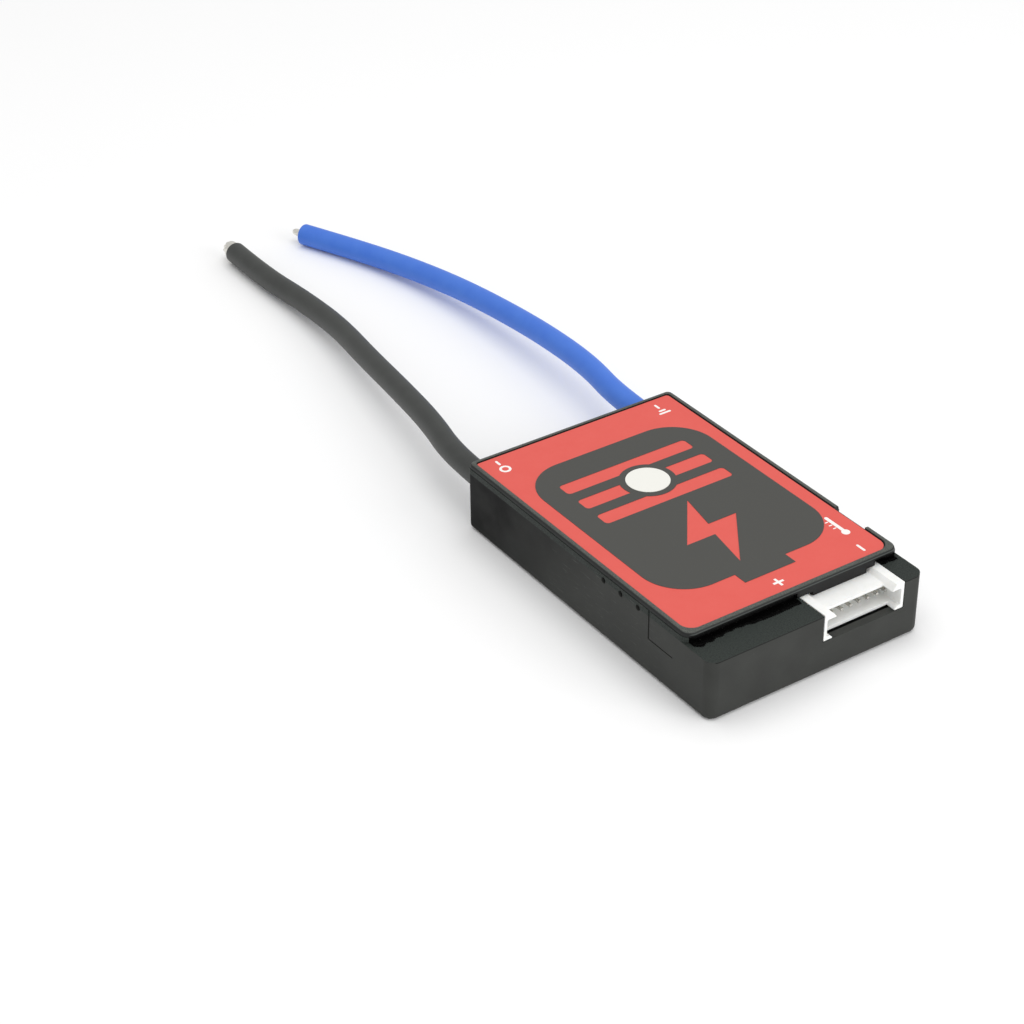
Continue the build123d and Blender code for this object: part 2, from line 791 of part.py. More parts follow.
def save_board_components():
    """Places the rows of components between the balance socket's pins and the leads' conductors."""
    half_drain = drain_bar_width / 2 + bar_clearance
    body_reach = transistor_tab + transistor_body
    leg_reach = half_drain + body_reach + transistor_leg_reach
    block_length = 2 * leg_reach + bar_clearance + source_bar_width
    chip_length = monitor_size[1] + 2 * chip_leg_reach
    front = -half_length + socket_depth + pin_tail + pin_side / 2
    back = sleeve_end - conductor_inside
    row_lengths = [chip_length, switch_size[1], resistor_size[1], shunt_size[1], block_length]
    chip_y, switch_y, resistor_y, shunt_y, block_y = spread(front, back, row_lengths)

    # Chips between the left front screw and the sensor socket's pins
    capacitor_length = row_length(2 * capacitor_radius, capacitor_gap, capacitor_count)
    left = screw_places()[0][0] + screw_head_radius
    right = half_width - socket_depth - pin_tail - pin_side / 2
    chip_lengths = [monitor_size[0], driver_size[0], capacitor_length]
    monitor_x, driver_x, capacitor_x = spread(left, right, chip_lengths)
    save(make_legged_chip(monitor_size, (monitor_x, chip_y), monitor_legs), "monitor_chip")
    save(make_legged_chip(driver_size, (driver_x, chip_y), driver_legs), "gate_driver")
    save(make_capacitors((capacitor_x, chip_y)), "can_capacitors")

    # One resistor and one switch for each cell, then ceramic capacitors in the room that is left
    cells = balance_pins - 1
    left = -board_half_width + component_margin
    right = board_half_width - component_margin
    cells_length = row_length(resistor_size[0], resistor_gap, cells)
    cells_x = left + cells_length / 2
    switch_gap = resistor_size[0] + resistor_gap - switch_size[0]
    save(make_chips(resistor_size, (cells_x, resistor_y), resistor_gap, cells), "balance_resistors")
    save(make_chips(switch_size, (cells_x, switch_y), switch_gap, cells), "balance_switches")
    ceramic_room = right - left - cells_length
    ceramic_count = int(ceramic_room / (ceramic_size[0] + ceramic_gap))
    behind_sensor_socket = sensor_y + sensor_width / 2 + socket_clearance + ceramic_size[1] / 2
    ceramic_place = (right - ceramic_room / 2, max(resistor_y, behind_sensor_socket))
    save(make_chips(ceramic_size, ceramic_place, ceramic_gap, ceramic_count), "ceramic_capacitors")
    save(make_chips(shunt_size, (0, shunt_y), shunt_gap, shunt_count), "shunt_resistors")

    # Two rows of transistors, tab to tab on a shared bar, under one heat spreader
    drain_y = block_y - block_length / 2 + leg_reach
    save(make_transistors(drain_y - half_drain, -1), "charge_transistors")
    save(make_transistors(drain_y + half_drain, 1), "discharge_transistors")
    save(make_bars(spreader_width, drain_bar_width, [(0, drain_y)]), "drain_bar")
    source_y = drain_y + leg_reach + bar_clearance + source_bar_width / 2
    source_length = (spreader_width - source_bar_gap) / 2
    source_x = (source_length + source_bar_gap) / 2
    save(make_bars(source_length, source_bar_width, [(-source_x, source_y), (source_x, source_y)]), "source_bars")
    pad_bottom = board_top + transistor_height
    spreader_bottom = pad_bottom + pad_thickness
    plate_ends = (drain_y - half_drain - body_reach, drain_y + half_drain + body_reach)
    save(make_plate(pad_bottom, pad_thickness, *plate_ends), "thermal_pad")
    save(make_plate(spreader_bottom, spreader_thickness, *plate_ends), "heat_spreader")


def main():
    """Builds every piece and writes one file for each."""
    os.makedirs("parts", exist_ok=True)
    save(make_lower_case(), "lower_case")
    save(make_top_cover(), "top_cover")
    save(make_label(), "top_label")
    save(make_label_print(), "label_print")
    save(make_sticker(), "round_sticker")
    save(make_slot_seal(), "slot_seal")
    save(make_socket(balance_mouth, balance_pins, balance_flange), "balance_socket")
    save(make_socket_pins(balance_mouth, balance_pins), "balance_pins")
    save(make_socket(sensor_mouth, sensor_pins, sensor_flange), "sensor_socket")
    save(make_socket_pins(sensor_mouth, sensor_pins), "sensor_pins")
    save(make_board(), "circuit_board")
    save(make_screws(), "board_screws")
    save_board_components()
    save(make_sleeve(-1), "black_sleeve")
    save(make_sleeve(1), "blue_sleeve")
    save(make_conductors(), "lead_conductors")
    save(make_solder(), "lead_solder")
    save(make_lead("black lead", black_route), "black_lead")
    save(make_lead("blue lead", blue_route), "blue_lead")
    save(make_tip(black_route, black_tip_radius, black_tip_length), "black_tip")
    save(make_tip(blue_route, blue_tip_radius, blue_tip_length), "blue_tip")


main()
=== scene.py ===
"""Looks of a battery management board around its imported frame: finishes, leads, marks and the studio.

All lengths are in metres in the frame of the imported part: origin at the middle of the underside, +Z up,
the balance socket in the -Y end and the leads out of the +Y end.
"""
import json

import bpy
import numpy as np
from mathutils import Matrix, Vector

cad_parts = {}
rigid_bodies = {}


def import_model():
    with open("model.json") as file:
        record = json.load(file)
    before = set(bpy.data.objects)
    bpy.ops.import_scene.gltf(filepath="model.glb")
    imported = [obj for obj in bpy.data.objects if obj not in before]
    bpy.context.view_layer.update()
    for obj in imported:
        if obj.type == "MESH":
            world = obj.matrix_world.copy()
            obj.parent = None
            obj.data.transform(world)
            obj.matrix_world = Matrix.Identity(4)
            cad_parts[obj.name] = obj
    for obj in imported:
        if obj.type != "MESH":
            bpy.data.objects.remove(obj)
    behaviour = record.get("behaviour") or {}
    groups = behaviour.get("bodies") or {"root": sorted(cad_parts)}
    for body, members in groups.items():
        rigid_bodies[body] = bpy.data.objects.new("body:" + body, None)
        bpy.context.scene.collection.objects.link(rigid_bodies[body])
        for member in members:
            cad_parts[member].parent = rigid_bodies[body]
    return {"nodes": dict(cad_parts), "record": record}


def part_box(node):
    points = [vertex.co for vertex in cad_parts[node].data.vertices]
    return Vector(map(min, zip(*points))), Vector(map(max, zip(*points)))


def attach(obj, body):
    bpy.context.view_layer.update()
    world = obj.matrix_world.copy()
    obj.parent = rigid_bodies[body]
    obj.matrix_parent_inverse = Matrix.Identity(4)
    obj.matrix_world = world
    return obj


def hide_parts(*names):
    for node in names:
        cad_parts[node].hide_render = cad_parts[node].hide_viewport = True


bl_info = {
    "name": "Battery Board Looks",
    "version": (1, 0, 0),
    "blender": (4, 5, 0),
    "location": "3D View > Sidebar > Battery Board",
    "description": "Dresses a packed battery management board and builds its studio",
    "category": "Object",
}

for leftover in list(bpy.data.objects):
    bpy.data.objects.remove(leftover)

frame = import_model()

MM = 0.001


def screen(red, green, blue):
    """Linear colour of a screen colour given as 0 to 255: the usual power curve with its straight toe."""
    share = np.array([red, green, blue]) / 255.0
    curve = np.where(share <= 0.04045, share / 12.92, ((share + 0.055) / 1.055) ** 2.4)
    return tuple(float(value) for value in curve)


def colour_size(text, colour):
    """A colour that a user can change, with its default as screen values."""
    return bpy.props.FloatVectorProperty(
        name=text, description=text, subtype="COLOR", size=3, min=0.0, max=1.0, default=screen(*colour)
    )


def length_size(text, millimetres):
    """A length that a user can change, with its default in millimetres."""
    return bpy.props.FloatProperty(
        name=text, description=text, default=millimetres * MM, min=0.0, precision=5, unit="LENGTH"
    )


def share_size(text, default, high=1.0):
    """A plain number that a user can change."""
    return bpy.props.FloatProperty(name=text, description=text, default=default, min=0.0, max=high)


def angle_size(text, note, degrees):
    """An angle in degrees that a user can change."""
    return bpy.props.FloatProperty(name=text, description=note, default=degrees)


def place_size(text, place):
    """A place in metres that a user can change."""
    return bpy.props.FloatVectorProperty(
        name=text, description=f"{text} in the part's frame", subtype="XYZ", unit="LENGTH", default=place
    )


class BoardStageSettings(bpy.types.PropertyGroup):
    """Camera, floor and lights."""

    camera_place: place_size("Camera place", (-0.28452, -0.35528, 0.31380))
    camera_azimuth: angle_size("Camera azimuth", "0 looks along +Y, positive from the right", -33.683)
    camera_elevation: angle_size("Camera elevation", "Degrees that the camera looks down", 33.102)
    camera_roll: angle_size("Camera roll", "Degrees of turn about the line of sight", -0.701)
    camera_lens: bpy.props.FloatProperty(
        name="Lens", description="Focal length for a 36 mm sensor", default=84.641, unit="CAMERA"
    )
    floor_side: length_size("Floor side", 6000.0)
    floor_colour: colour_size("Floor colour", (255, 255, 255))
    sky_strength: share_size("Light from all round", 0.70, 10.0)
    key_power: share_size("Key light power", 2.9, 500.0)
    key_side: length_size("Key light side", 900.0)
    key_height: length_size("Key light height", 900.0)
    front_power: share_size("Front light power", 2.0, 500.0)
    front_side: length_size("Front light side", 500.0)
    front_place: place_size("Front light place", (0.25, -0.70, 0.32))


class BoardCaseSettings(bpy.types.PropertyGroup):
    """The two moulded shells."""

    case_colour: colour_size("Case colour", (58, 59, 57))
    cover_colour: colour_size("Cover colour", (84, 87, 82))
    # Painted shade: the cover below its flat top takes this darker colour
    side_shade_colour: colour_size("Colour of the cover's rounded side", (26, 28, 27))
    # Painted shadow under the front lip's overhang
    lip_shade: colour_size("Colour of the front lip's lower edge", (5, 5, 5))
    # Painted shade: the left wall's far end is darkened towards this colour
    shade_colour: colour_size("Colour of the left wall's far end", (7, 7, 7))
    # Painted shading: the ledge's top takes its own tone, set for how the light falls on it
    ledge_top_shading: colour_size("Colour of the ledge's top", (57, 62, 59))
    case_shine: share_size("Specular level of the case", 0.08)
    cover_shine: share_size("Specular level of the cover", 0.3)
    edge_radius: length_size("Radius of the moulded edges", 0.25)
    grain_size: length_size("Size of the moulded grain", 0.22)


class BoardLabelSettings(bpy.types.PropertyGroup):
    """Label, its print, the sticker and the terminal marks."""

    film_colour: colour_size("Label colour", (223, 86, 76))
    ink_colour: colour_size("Dark ink colour", (62, 62, 58))
    mark_colour: colour_size("White ink colour", (246, 244, 240))
    sticker_colour: colour_size("Sticker colour", (238, 237, 230))
    mark_height: length_size("Height of a terminal mark", 2.8)
    mark_stroke: length_size("Stroke of a terminal mark", 0.62)
    mark_thickness: length_size("Thickness of the white ink", 0.03)


class BoardPottingSettings(bpy.types.PropertyGroup):
    """Potting compound in the slot under the cover's front lip."""

    potting_colour: colour_size("Potting colour", (5, 5, 5))
    film_height: length_size("Height of the film on the ledge", 0.16)
    lump_height: length_size("Height of the lumps", 0.12)
    ragged_edge: length_size("Unevenness of the film's front edge", 0.5)
    sunk_depth: length_size("Open depth of the slot in front of the filling", 1.1)


class BoardSocketSettings(bpy.types.PropertyGroup):
    """White sockets and their pins."""

    nylon_colour: colour_size("Nylon colour", (250, 250, 247))
    pin_colour: colour_size("Pin colour", (202, 200, 194))
    nylon_edge: length_size("Radius of the socket's edges", 0.09)


class BoardLeadSettings(bpy.types.PropertyGroup):
    """The two silicone leads."""

    lead_radius: length_size("Lead radius", 3.0)
    end_radius: length_size("Rounding of the cut end", 0.4)
    black_tip_radius: length_size("Radius of the black lead's strands", 2.2)
    black_tip_length: length_size("Stripped length of the black lead", 5.0)
    blue_tip_radius: length_size("Radius of the blue lead's strands", 1.0)
    blue_tip_length: length_size("Stripped length of the blue lead", 4.2)
    black_colour: colour_size("Black lead colour", (45, 47, 45))
    blue_colour: colour_size("Blue lead colour", (58, 114, 216))
    tin_colour: colour_size("Tinned strand colour", (230, 228, 221))


# Routes of the leads outside the box: the points of the part's own tubes, with the middle ones of the
# blue lead up to 0.9 mm to the side
BLACK_ROUTE = [
    (-0.0242, 0.046, 0.0108),
    (-0.0242, 0.060, 0.0108),
    (-0.0199, 0.077, 0.0103),
    (-0.0168, 0.097, 0.0092),
    (-0.0135, 0.118, 0.0074),
    (-0.0096, 0.139, 0.0056),
    (-0.0086, 0.160, 0.0041),
    (-0.0096, 0.180, 0.0032),
    (-0.0090, 0.1978, 0.0031),
]
BLUE_ROUTE = [
    (0.0242, 0.046, 0.0108),
    (0.0242, 0.060, 0.0108),
    (0.0279, 0.077, 0.0103),
    (0.0292, 0.097, 0.0093),
    (0.0294, 0.118, 0.0076),
    (0.0286, 0.139, 0.0057),
    (0.0256, 0.159, 0.0042),
    (0.0203, 0.1785, 0.0032),
    (0.0128, 0.1966, 0.0031),
]

# Front edge of the potting film: share of its width from the left, and reach in mm in front of the cover
LEFT_FILM = (
    (0.0, 2.0), (0.06, 1.87), (0.14, 1.69), (0.25, 1.35), (0.33, 1.05), (0.41, 1.03),
    (0.48, 1.27), (0.55, 1.79), (0.64, 1.89), (0.7, 2.03), (0.78, 2.01), (1.0, 1.8),
)
RIGHT_FILM = ((0.0, 0.65), (0.5, 0.8), (1.0, 0.8))
# Left and right end in mm of the gap that the cover's tongue leaves in the film
FILM_GAP = (0.2, 23.95)

# Places in mm of the white marks on the label: plus, minus, ring, cell and thermometer
MARK_PLACES = ((-1.03, -32.97), (22.21, -33.05), (-23.58, 38.78), (22.11, 37.97), (23.6, -23.04))


def ring_faces(rows, columns):
    """Quads between stacked rings of points that are numbered ring by ring."""
    row = np.arange(rows - 1)[:, None]
    column = np.arange(columns)[None, :]
    here = row * columns + column
    beside = row * columns + (column + 1) % columns
    return np.stack([here, beside, beside + columns, here + columns], -1).reshape(-1, 4)


def signed_volume(points, triangles):
    """Sum over the triangles of a . (b x c) / 6, which is positive where they point outwards."""
    first, second, third = (points[triangles[:, corner]] for corner in range(3))
    return float(np.einsum("ij,ij->i", first, np.cross(second, third)).sum() / 6)


def add_mesh(name, points, faces, material, smooth=True, edge_angle=35.0):
    """New object at the origin from an array of points and a list of faces, which rides on the part."""
    mesh = bpy.data.meshes.new(name)
    mesh.from_pydata(points.tolist(), [], faces)
    mesh.update()
    piece = bpy.data.objects.new(name, mesh)
    bpy.context.scene.collection.objects.link(piece)
    mesh.polygons.foreach_set("use_smooth", np.full(len(mesh.polygons), smooth))
    if smooth:
        mesh.set_sharp_from_angle(angle=np.radians(edge_angle))
    mesh.materials.append(material)
    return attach(piece, "root")


def closed_sweep(name, stacks, material, edge_angle=35.0):
    """Closed surfaces through stacks of rings (rows, points round, 3), with one flat face at each end.

    Triangles that fan over the ends only serve to find out whether the faces point outwards.
    """
    points, faces, start = [], [], 0
    for rings in stacks:
        rows, columns = rings.shape[:2]
        places = rings.reshape(-1, 3)
        sides = ring_faces(rows, columns)
        around = np.arange(columns)
        ends = np.stack([around[::-1], (rows - 1) * columns + around])
        fans = [np.stack([np.full(columns - 2, end[0]), end[1:-1], end[2:]], 1) for end in ends]
        triangles = np.concatenate([sides[:, [0, 1, 2]], sides[:, [0, 2, 3]], *fans])
        if signed_volume(places, triangles) < 0:
            sides, ends = sides[:, ::-1], ends[:, ::-1]
        points.append(places)
        faces += (sides + start).tolist() + (ends + start).tolist()
        start += len(places)
    return add_mesh(name, np.concatenate(points), faces, material, edge_angle=edge_angle)


def slab(name, outlines, low, high, material):
    """Thin plates with straight sides, lifted from low to high over outlines in the XY plane.

    An outline is an array (n, 2), or a pair of them with equal counts: its outside and its hole's edge.
    """
    points, faces = [], []
    for outline in outlines:
        loops = outline if isinstance(outline, tuple) else (outline,)
        rims = []
        for loop in loops:
            ahead = np.roll(loop, -1, 0)
            clockwise = np.sum(loop[:, 0] * ahead[:, 1] - ahead[:, 0] * loop[:, 1]) < 0
            ring = loop[::-1] if clockwise else loop
            below = len(points) + np.arange(len(ring))
            above = below + len(ring)
            points += [(*place, height) for height in (low, high) for place in ring.tolist()]
            walls = np.stack([below, np.roll(below, -1), np.roll(above, -1), above], 1)
            faces += (walls[:, ::-1] if rims else walls).tolist()
            rims.append((below, above))
        if len(rims) == 1:
            below, above = rims[0]
            faces += [below[::-1].tolist(), above.tolist()]
        else:
            (below, above), (hole_below, hole_above) = rims
            top = np.stack([above, np.roll(above, -1), np.roll(hole_above, -1), hole_above], 1)
            base = np.stack([below, np.roll(below, -1), np.roll(hole_below, -1), hole_below], 1)
            faces += top.tolist() + base[:, ::-1].tolist()
    return add_mesh(name, np.array(points), faces, material, smooth=False)


def scaled(colour, factor, lift=0.0):
    """Colour with each part times the factor plus the lift, at most 1."""
    return tuple(min(1.0, part * factor + lift) for part in colour)


class Finish:
    """A Principled material on Object coordinates, with helpers for noise, masks, colour and bump."""

    def __init__(self, name, colour, roughness, metallic=0.0, **sockets):
        self.material = bpy.data.materials.new(name)
        self.material.use_nodes = True
        self.tree = self.material.node_tree
        self.shader = self.tree.nodes["Principled BSDF"]
        self.shader.inputs["Base Color"].default_value = (*colour, 1.0)
        self.shader.inputs["Roughness"].default_value = roughness
        self.shader.inputs["Metallic"].default_value = metallic
        for label, value in sockets.items():
            self.shader.inputs[label.replace("_", " ")].default_value = value
        self.place = self.node("ShaderNodeTexCoord").outputs["Object"]
        self.height = None

    def node(self, kind, **values):
        """New node with plain settings."""
        made = self.tree.nodes.new(kind)
        for name, value in values.items():
            setattr(made, name, value)
        return made

    def link(self, source, target):
        """Joins two sockets, or sets a number on the target."""
        if isinstance(source, bpy.types.NodeSocket):
            self.tree.links.new(source, target)
        else:
            target.default_value = source

    def maths(self, operation, first, second, clamp=False):
        """One maths step on numbers or sockets."""
        step = self.node("ShaderNodeMath", operation=operation, use_clamp=clamp)
        self.link(first, step.inputs[0])
        self.link(second, step.inputs[1])
        return step.outputs[0]

    def times(self, first, second, clamp=False):
        """Product of two numbers or sockets."""
        return self.maths("MULTIPLY", first, second, clamp)

    def axes(self):
        """The x, y and z of the place as three sockets."""
        split = self.node("ShaderNodeSeparateXYZ")
        self.link(self.place, split.inputs[0])
        return split.outputs[0], split.outputs[1], split.outputs[2]

    def noise(self, size, detail=3.0, roughness=0.5, stretch=(1.0, 1.0, 1.0), distortion=0.0):
        """Soft noise with features of about that size in metres, longer along a stretched axis."""
        mapping = self.node("ShaderNodeMapping")
        mapping.inputs["Scale"].default_value = tuple(1.0 / (size * along) for along in stretch)
        self.link(self.place, mapping.inputs["Vector"])
        texture = self.node("ShaderNodeTexNoise")
        texture.inputs["Scale"].default_value = 1.0
        texture.inputs["Detail"].default_value = detail
        texture.inputs["Roughness"].default_value = roughness
        texture.inputs["Distortion"].default_value = distortion
        self.link(mapping.outputs[0], texture.inputs["Vector"])
        return texture.outputs["Fac"]

    def ramp(self, value, low, high, to_low=0.0, to_high=1.0):
        """Straight ramp from to_low at low to to_high at high, held outside them."""
        step = self.node("ShaderNodeMapRange", clamp=True)
        for index, number in enumerate((value, low, high, to_low, to_high)):
            self.link(number, step.inputs[index])
        return step.outputs[0]

    def speckle(self, low, high):
        """Sharp fine speckles: 0 where a 0.3 mm noise is under low, and 1 where it is over high."""
        return self.ramp(self.noise(0.3 * MM, 3.0, 0.8), low, high)

    def band(self, value, low, high, soft):
        """1 between low and high, falling to 0 over soft on both sides."""
        rise = self.ramp(value, low - soft, low)
        fall = self.ramp(value, high, high + soft, 1.0, 0.0)
        return self.times(rise, fall)

    def tint(self, share, colour):
        """Blends the base colour towards another one where share is 1."""
        base = self.shader.inputs["Base Color"]
        mix = self.node("ShaderNodeMix", data_type="RGBA")
        self.link(share, mix.inputs["Factor"])
        if base.is_linked:
            self.link(base.links[0].from_socket, mix.inputs["A"])
        else:
            mix.inputs["A"].default_value = base.default_value
        mix.inputs["B"].default_value = (*colour, 1.0)
        self.link(mix.outputs["Result"], base)

    def roughen(self, share, low, high):
        """Roughness from low to high as share goes from 0 to 1."""
        self.link(self.ramp(share, 0.0, 1.0, low, high), self.shader.inputs["Roughness"])

    def bump(self, height, depth, strength=1.0):
        """Bump of that depth in metres, on top of any bump already there."""
        step = self.node("ShaderNodeBump")
        step.inputs["Strength"].default_value = strength
        step.inputs["Distance"].default_value = depth
        self.link(height, step.inputs["Height"])
        if self.height is not None:
            self.link(self.height, step.inputs["Normal"])
        self.height = step.outputs[0]
        self.link(self.height, self.shader.inputs["Normal"])


def moulded_plastic(name, colour, grain_size, shine):
    """Satin moulded plastic: a fine grain, a cloudy sheen and a few pale specks."""
    finish = Finish(name, colour, 0.5, Specular_IOR_Level=shine)
    cloud = finish.noise(9.0 * MM, 3.0)
    grain = finish.noise(grain_size, 2.0, 0.6)
    finish.tint(finish.ramp(cloud, 0.35, 0.75, 0.0, 0.7), scaled(colour, 1.35, 0.002))
    specks = finish.ramp(finish.noise(0.35 * MM, 1.0), 0.78, 0.82)
    finish.tint(finish.times(specks, 0.5), scaled(colour, 3.0, 0.02))
    finish.roughen(finish.ramp(cloud, 0.3, 0.7), 0.42, 0.55)
    finish.bump(grain, 0.012 * MM)
    finish.bump(cloud, 0.05 * MM, 0.3)
    return finish


def case_plastic(settings):
    """The tray's plastic: scuffs and painted shade on the left wall, a painted shade line below the
    ledge, and painted shading and speckles from the ledge's top up.

    The left wall's painted shade darkens it in a straight ramp of y + 1.2 z, from fade_start to fade_end.
    """
    colour, shine = settings.case_colour, settings.case_shine
    finish = moulded_plastic("case_plastic", colour, settings.grain_size, shine)
    across, along, up = finish.axes()
    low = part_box("lower_case")[0]
    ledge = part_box("slot_seal")[0].z

    # Painted shade on the left wall, darker towards the leads, in an uneven way
    fade_start, fade_end, most = 8.0 * MM, 46.0 * MM, 0.95
    left_wall = finish.ramp(across, low.x + 0.05 * MM, low.x + 0.2 * MM, 1.0, 0.0)
    way = finish.maths("ADD", along, finish.times(up, 1.2))
    fade = finish.ramp(way, fade_start, fade_end, 0.0, most)
    uneven = finish.ramp(finish.noise(11.0 * MM, 3.0, 0.6), 0.3, 0.7, 0.8, 1.2)
    shaded = finish.times(finish.times(left_wall, fade), uneven, clamp=True)
    finish.tint(shaded, settings.shade_colour)

    # Painted shade line along the ledge's front edge, painted shading on the ledge's top, and speckles
    # from its top up
    front_wall = finish.ramp(along, low.y + 0.2 * MM, low.y + 0.3 * MM, 1.0, 0.0)
    # Painted shade: the lower part of the ledge's rounded front edge is darkened
    line = finish.band(up, ledge - 0.26 * MM, ledge - 0.1 * MM, 0.06 * MM)
    finish.tint(finish.times(finish.times(line, front_wall), 0.85), screen(8, 8, 8))
    # Painted shading: from the ledge's top up, the plastic takes its own tone, set for how the light
    # falls there
    on_top = finish.ramp(up, ledge - 0.06 * MM, ledge - 0.02 * MM)
    finish.tint(on_top, settings.ledge_top_shading)
    speckle = finish.speckle(0.45, 0.62)
    finish.tint(finish.times(finish.times(speckle, on_top), 0.7), screen(22, 24, 23))

    # Pale scuffs along the left wall, from its front to a little past its middle
    scuff_start, scuff_end, soft = -24.0 * MM, 8.0 * MM, 9.0 * MM
    region = finish.times(finish.band(along, scuff_start, scuff_end, soft), left_wall)
    streaks = finish.noise(0.5 * MM, 3.0, 0.6, (1.0, 9.0, 1.0), 0.4)
    scuff = finish.times(finish.ramp(streaks, 0.6, 0.72), region)
    finish.tint(finish.times(scuff, 0.5), screen(88, 89, 86))
    finish.bump(scuff, 0.02 * MM, 0.6)
    return finish.material


def cover_plastic(settings):
    """The cover's plastic: a speckled flat rim, painted shade on its rounded side and below, and a
    painted highlight line and painted shadow on the front lip.
    """
    colour, shine = settings.cover_colour, settings.cover_shine
    finish = moulded_plastic("cover_plastic", colour, settings.grain_size, shine)
    along, up = finish.axes()[1:]
    low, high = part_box("top_cover")
    finish.tint(finish.times(finish.speckle(0.42, 0.66), 0.75), screen(36, 40, 38))
    # Painted shade on the rounded side and on all of the cover below its flat top
    side = finish.ramp(up, high.z - 0.22 * MM, high.z - 0.06 * MM, 1.0, 0.0)
    finish.tint(side, settings.side_shade_colour)

    # Painted highlight: a thin pale line low on the front; painted shadow on the lip below it
    front = finish.ramp(along, low.y + 0.3 * MM, low.y + 0.6 * MM, 1.0, 0.0)
    # Painted highlight along the lip's edge
    line = finish.band(up, high.z - 0.56 * MM, high.z - 0.44 * MM, 0.08 * MM)
    finish.tint(finish.times(finish.times(line, front), 0.55), screen(84, 90, 87))
    # Painted shadow: the lip below the pale line is darkened to black
    under_lip_shadow = finish.ramp(up, high.z - 0.74 * MM, high.z - 0.62 * MM, 1.0, 0.0)
    finish.tint(finish.times(under_lip_shadow, front), settings.lip_shade)
    return finish.material


def label_film(settings):
    """Matt printed film with a slight orange-peel surface."""
    finish = Finish("label_film", settings.film_colour, 0.55)
    cloud = finish.noise(6.0 * MM, 2.0)
    finish.tint(finish.ramp(cloud, 0.3, 0.8, 0.0, 0.25), screen(230, 98, 88))
    finish.roughen(finish.noise(1.2 * MM, 2.0), 0.48, 0.62)
    finish.bump(finish.noise(0.5 * MM, 2.0), 0.006 * MM)
    return finish.material


def printed_ink(name, colour, roughness=0.5):
    """A thin even layer of ink with a little mottling."""
    finish = Finish(name, colour, roughness)
    mottle = finish.noise(0.8 * MM, 3.0)
    finish.tint(finish.ramp(mottle, 0.35, 0.8, 0.0, 0.3), scaled(colour, 1.2, 0.004))
    finish.roughen(mottle, roughness - 0.06, roughness + 0.08)
    finish.bump(finish.noise(0.4 * MM, 2.0), 0.005 * MM)
    return finish.material


def sticker_paper(settings):
    """Smooth white paper with faint fibres."""
    finish = Finish("sticker_film", settings.sticker_colour, 0.6)
    fibres = finish.noise(0.3 * MM, 4.0, 0.7, (3.0, 1.0, 1.0), 1.5)
    finish.tint(finish.ramp(fibres, 0.55, 0.8, 0.0, 0.4), screen(226, 224, 214))
    finish.bump(fibres, 0.006 * MM)
    return finish.material


def potting_compound(settings):
    """Black compound with ripples, pits and pale specks painted as glints, which mirrors hardly any
    light.
    """
    finish = Finish("potting", settings.potting_colour, 0.3, Specular_IOR_Level=0.02)
    ripples = finish.noise(1.1 * MM, 3.0, 0.6)
    pits = finish.noise(0.28 * MM, 2.0, 0.7)
    finish.roughen(finish.ramp(pits, 0.45, 0.8), 0.2, 0.5)
    # Painted glints: pale specks stand for the highlights of the compound's glossy specks
    dust = finish.ramp(finish.noise(0.16 * MM, 1.0), 0.74, 0.8)
    finish.tint(finish.times(dust, 0.5), screen(120, 120, 114))
    finish.bump(ripples, 0.12 * MM, 0.8)
    finish.bump(pits, 0.05 * MM, 0.7)
    return finish.material


def nylon(settings):
    """White moulded nylon, faintly translucent and slightly waxy."""
    finish = Finish(
        "socket_nylon", settings.nylon_colour, 0.38, Subsurface_Weight=0.25, Subsurface_Scale=1.2 * MM
    )
    finish.shader.inputs["Subsurface Radius"].default_value = (1.0, 0.9, 0.8)
    cloud = finish.noise(2.5 * MM, 3.0)
    finish.tint(finish.ramp(cloud, 0.4, 0.8, 0.0, 0.35), screen(222, 224, 220))
    finish.roughen(cloud, 0.32, 0.48)
    finish.bump(finish.noise(0.25 * MM, 2.0), 0.005 * MM)
    return finish.material


def silicone(name, colour, pale):
    """Soft silicone insulation: matt skin, fine drag lines along it and a little dust."""
    finish = Finish(name, colour, 0.5, Sheen_Weight=0.12, Sheen_Roughness=0.5)
    finish.shader.inputs["Sheen Tint"].default_value = (*pale, 1.0)
    cloud = finish.noise(5.0 * MM, 3.0)
    skin = finish.noise(0.25 * MM, 2.0, 0.6, (1.0, 4.0, 1.0))
    finish.tint(finish.ramp(cloud, 0.35, 0.8, 0.0, 0.35), pale)
    finish.roughen(cloud, 0.42, 0.58)
    finish.bump(skin, 0.015 * MM)
    return finish.material


def metal(name, colour, roughness, grain=0.4 * MM, stretch=(1.0, 1.0, 1.0), depth=0.01 * MM):
    """Plain metal with fine marks, dulled in patches."""
    finish = Finish(name, colour, roughness, 1.0)
    patches = finish.noise(1.5 * MM, 3.0)
    finish.tint(finish.ramp(patches, 0.4, 0.8, 0.0, 0.5), scaled(colour, 0.72))
    finish.roughen(patches, max(0.05, roughness - 0.08), roughness + 0.14)
    finish.bump(finish.noise(grain, 2.0, 0.6, stretch), depth)
    return finish.material


def resin(name, colour, roughness=0.55, grain=0.12 * MM):
    """Moulded resin or laminate with a fine sandy skin."""
    finish = Finish(name, colour, roughness)
    patches = finish.noise(3.0 * MM, 2.0)
    finish.tint(finish.ramp(patches, 0.35, 0.8, 0.0, 0.4), scaled(colour, 1.3, 0.004))
    finish.roughen(patches, roughness - 0.05, roughness + 0.1)
    finish.bump(finish.noise(grain, 2.0), 0.01 * MM)
    return finish.material


def board_laminate():
    """Green solder mask, darkened to near black over its front end as painted shade where it shows in the
    gap under the socket.
    """
    finish = Finish("board_laminate", screen(26, 84, 44), 0.4)
    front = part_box("circuit_board")[0].y
    # Painted shade: the board's front end is darkened where it shows in the gap under the socket
    gap_shade = finish.ramp(finish.axes()[1], front + 3.0 * MM, front + 3.6 * MM, 1.0, 0.0)
    finish.tint(gap_shade, screen(9, 10, 9))
    finish.bump(finish.noise(0.12 * MM, 2.0), 0.01 * MM)
    return finish.material


